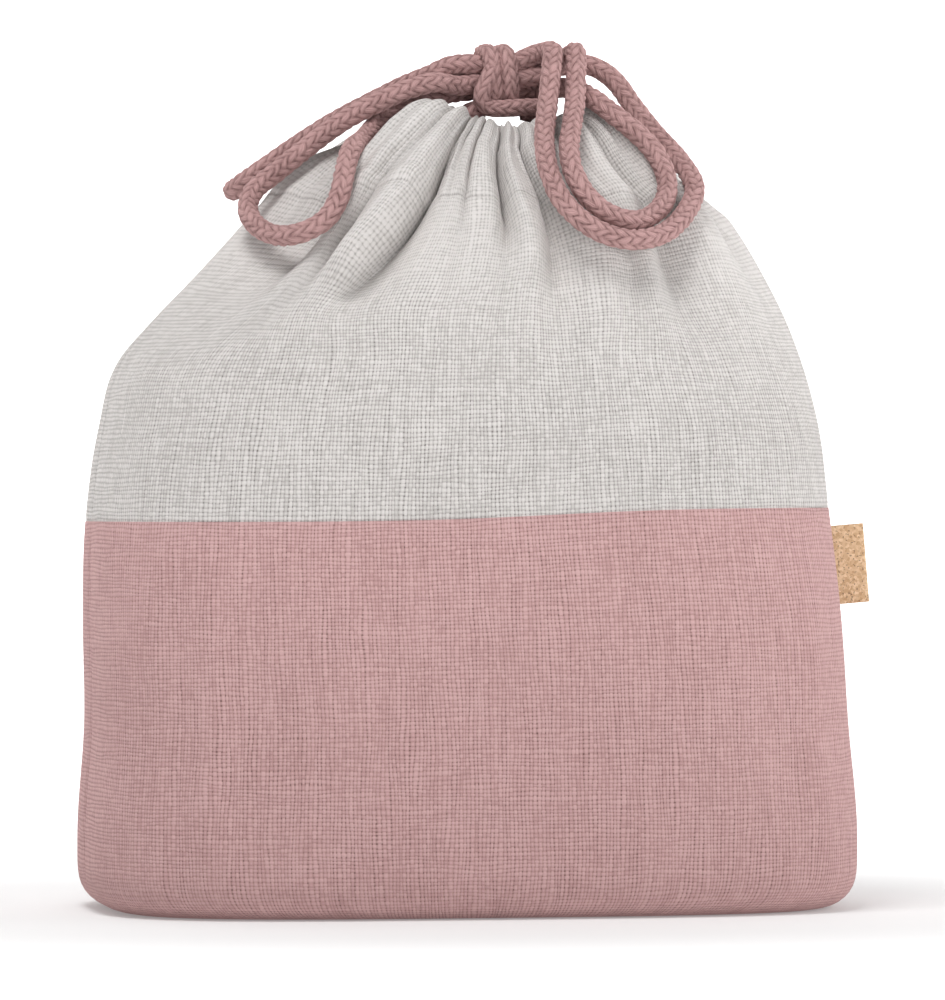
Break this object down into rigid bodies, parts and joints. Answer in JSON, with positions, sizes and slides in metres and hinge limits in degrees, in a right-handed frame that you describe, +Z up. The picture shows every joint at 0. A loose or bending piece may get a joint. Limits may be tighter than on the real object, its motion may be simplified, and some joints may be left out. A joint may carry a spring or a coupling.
{
  "type": "drawstring bento bag",
  "caption": "Two-tone canvas lunch bag that stands on a flat base, its gathered mouth drawn shut by braided cords tied in a bow, with a small cork tag in the side seam.",
  "frame": {"origin": "middle of the base panel's underside, on the surface that the bag stands on", "axes": "+Z up, front towards -Y, +X towards the side seam with the tag; +Y runs from front to back"},
  "size_m": [0.194, 0.1164, 0.212],
  "materials": {
    "rose_canvas": "coarse plain weave",
    "natural_canvas": "coarse plain weave",
    "rose_cord": "braided cotton",
    "cork": "bare cork"
  },
  "bodies": {
    "bag": {"base_panel": "rose_canvas", "lower_back_panel": "rose_canvas", "lower_front_panel": "rose_canvas", "upper_back_panel": "natural_canvas", "upper_front_panel": "natural_canvas", "back_casing": "natural_canvas", "front_casing": "natural_canvas", "left_drawcord": "rose_cord", "right_drawcord": "rose_cord"},
    "bow": {"knot_core": "rose_cord", "knot_wrap": "rose_cord", "left_lead_front": "rose_cord", "left_lead_back": "rose_cord", "right_lead_front": "rose_cord", "right_lead_back": "rose_cord"},
    "left_loops": {"left_upper_loop": "rose_cord", "left_lower_loop": "rose_cord"},
    "right_loops": {"right_outer_loop": "rose_cord", "right_inner_loop": "rose_cord"},
    "tag": {"side_tag": "cork"}
  },
  "joints": [
    {"name": "bow_lift", "type": "slide", "parent": "bag", "child": "bow", "axis": [0, 0, 1], "range_m": [0, 0.006]},
    {"name": "left_loops_swing", "type": "hinge", "parent": "bow", "child": "left_loops", "pos_m": [0.0077, 0, 0.2025], "axis": [-1, 0, 0], "range_deg": [0, 60]},
    {"name": "right_loops_swing", "type": "hinge", "parent": "bow", "child": "right_loops", "pos_m": [0.0077, 0, 0.2025], "axis": [-1, 0, 0], "range_deg": [0, 75]},
    {"name": "tag_flap", "type": "hinge", "parent": "bag", "child": "tag", "pos_m": [0.08962, 0, 0.08308], "axis": [-0.0826, 0, 0.9966], "range_deg": [-70, 70], "stiffness_Nm_per_rad": 0.002}
  ]
}
